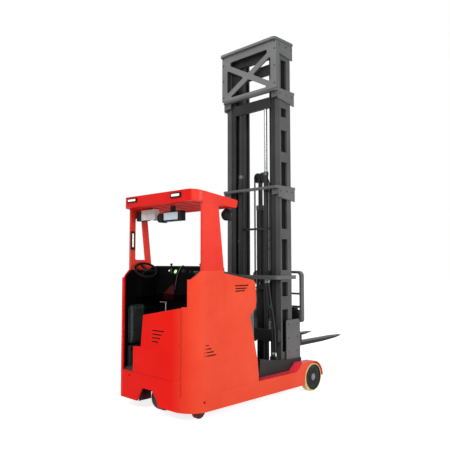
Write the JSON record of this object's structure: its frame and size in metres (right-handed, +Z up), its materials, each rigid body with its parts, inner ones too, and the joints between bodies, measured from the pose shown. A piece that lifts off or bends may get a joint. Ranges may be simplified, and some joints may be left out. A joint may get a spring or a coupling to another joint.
{
  "type": "reach truck",
  "caption": "Stand-on electric reach truck: cab with sloped guard, two straddling legs, and a telescopic mast that slides forward with tilting forks.",
  "frame": {"origin": "on the floor, under the middle of the overall length and width with the forks' tips included", "axes": "+X forward to the fork tips, +Y to the driver's left when facing the forks, +Z up"},
  "size_m": [3.11, 1.22, 4.245],
  "materials": {
    "body_paint": "satin",
    "skirt_paint": "satin",
    "frame_paint": "satin",
    "hood_paint": "satin",
    "mast_paint": "satin",
    "guard_paint": "satin",
    "battery_case": "matt",
    "trim_plastic": "matt",
    "pad_fabric": "matt",
    "lamp_case": "gloss",
    "steel": "brushed",
    "rod_chrome": "polished",
    "wheel_tyre": "satin",
    "drive_iron": "matt",
    "hose_rubber": "matt",
    "fork_steel": "satin"
  },
  "bodies": {
    "truck": {"chassis_frame": "frame_paint", "outrigger_left": "skirt_paint", "outrigger_right": "skirt_paint", "rear_skirt": "skirt_paint", "side_panel_right": "body_paint", "side_panel_left": "body_paint", "rear_cover": "body_paint", "battery_hood": "hood_paint", "battery": "battery_case", "cab_floor": "trim_plastic", "cab_liner": "trim_plastic", "machine_room": "trim_plastic", "console": "trim_plastic", "steering_column": "trim_plastic", "hand_levers": "trim_plastic", "hip_pad": "pad_fabric", "guard_roof": "guard_paint", "pillar_right": "guard_paint", "pillar_left": "guard_paint", "guard_lamps": "lamp_case", "cab_lamp": "lamp_case", "cab_mirror": "lamp_case", "work_lamp": "trim_plastic", "load_axle_left": "steel", "load_axle_right": "steel", "reach_barrel": "frame_paint"},
    "drive_knuckle": {"drive_unit": "drive_iron"},
    "drive_wheel": {"drive_wheel": "wheel_tyre"},
    "caster_swivel": {"caster_fork": "drive_iron"},
    "caster_wheel": {"caster_wheel": "wheel_tyre"},
    "load_wheel_left": {"load_wheel_left": "wheel_tyre"},
    "load_wheel_right": {"load_wheel_right": "wheel_tyre"},
    "steering_wheel": {"steering_wheel": "trim_plastic"},
    "reach_carriage": {"reach_frame": "frame_paint", "reach_rod": "rod_chrome", "outer_mast": "mast_paint", "mast_bands": "mast_paint", "mast_head": "mast_paint", "mast_cross_beam": "mast_paint", "lift_barrels": "mast_paint", "mast_hoses": "hose_rubber"},
    "middle_mast": {"middle_mast": "mast_paint", "lift_rods": "rod_chrome"},
    "inner_mast": {"inner_mast": "mast_paint", "free_lift_barrel": "mast_paint"},
    "free_lift": {"free_lift_rod": "rod_chrome", "free_lift_head": "mast_paint", "carriage_chains": "steel"},
    "fork_carriage": {"carriage_frame": "mast_paint"},
    "fork_frame": {"fork_frame": "mast_paint", "fork_left": "fork_steel", "fork_right": "fork_steel", "load_backrest": "mast_paint"}
  },
  "joints": [
    {"name": "load_wheel_left_roll", "type": "hinge", "parent": "truck", "child": "load_wheel_left", "pos_m": [0.429, 0.565, 0.165], "axis": [0, 1, 0], "continuous": true},
    {"name": "load_wheel_right_roll", "type": "hinge", "parent": "truck", "child": "load_wheel_right", "pos_m": [0.429, -0.565, 0.165], "axis": [0, 1, 0], "continuous": true},
    {"name": "drive_steer", "type": "hinge", "parent": "truck", "child": "drive_knuckle", "pos_m": [-1.32, 0.04, 0.345], "axis": [0, 0, 1], "range_deg": [-90, 90]},
    {"name": "drive_roll", "type": "hinge", "parent": "drive_knuckle", "child": "drive_wheel", "pos_m": [-1.32, 0.04, 0.15], "axis": [0, 1, 0], "continuous": true},
    {"name": "caster_turn", "type": "hinge", "parent": "truck", "child": "caster_swivel", "pos_m": [-1.255, -0.442, 0.345], "axis": [0, 0, 1], "continuous": true},
    {"name": "caster_roll", "type": "hinge", "parent": "caster_swivel", "child": "caster_wheel", "pos_m": [-1.29, -0.442, 0.075], "axis": [0, 1, 0], "continuous": true},
    {"name": "steering_wheel_turn", "type": "hinge", "parent": "truck", "child": "steering_wheel", "pos_m": [-1.278, 0.445, 1.4455], "axis": [-0.205, -0.5849, 0.7848], "continuous": true},
    {"name": "reach", "type": "slide", "parent": "truck", "child": "reach_carriage", "axis": [1, 0, 0], "range_m": [-0.5, 0.06]},
    {"name": "middle_lift", "type": "slide", "parent": "reach_carriage", "child": "middle_mast", "axis": [0, 0, 1], "range_m": [0, 2.35]},
    {"name": "inner_lift", "type": "slide", "parent": "middle_mast", "child": "inner_mast", "axis": [0, 0, 1], "range_m": [0, 2.35]},
    {"name": "free_rod_lift", "type": "slide", "parent": "inner_mast", "child": "free_lift", "axis": [0, 0, 1], "range_m": [-0.235, 1.225], "deforming": ["carriage_chains"]},
    {"name": "carriage_lift", "type": "slide", "parent": "inner_mast", "child": "fork_carriage", "axis": [0, 0, 1], "range_m": [-0.47, 2.45]},
    {"name": "fork_tilt", "type": "hinge", "parent": "fork_carriage", "child": "fork_frame", "pos_m": [0.39, 0, 0.6], "axis": [0, 1, 0], "range_deg": [-4, 2]}
  ],
  "couplings": [
    {"joint": "inner_lift", "follows": "middle_lift", "ratio": 1},
    {"joint": "free_rod_lift", "follows": "carriage_lift", "ratio": 0.5}
  ]
}
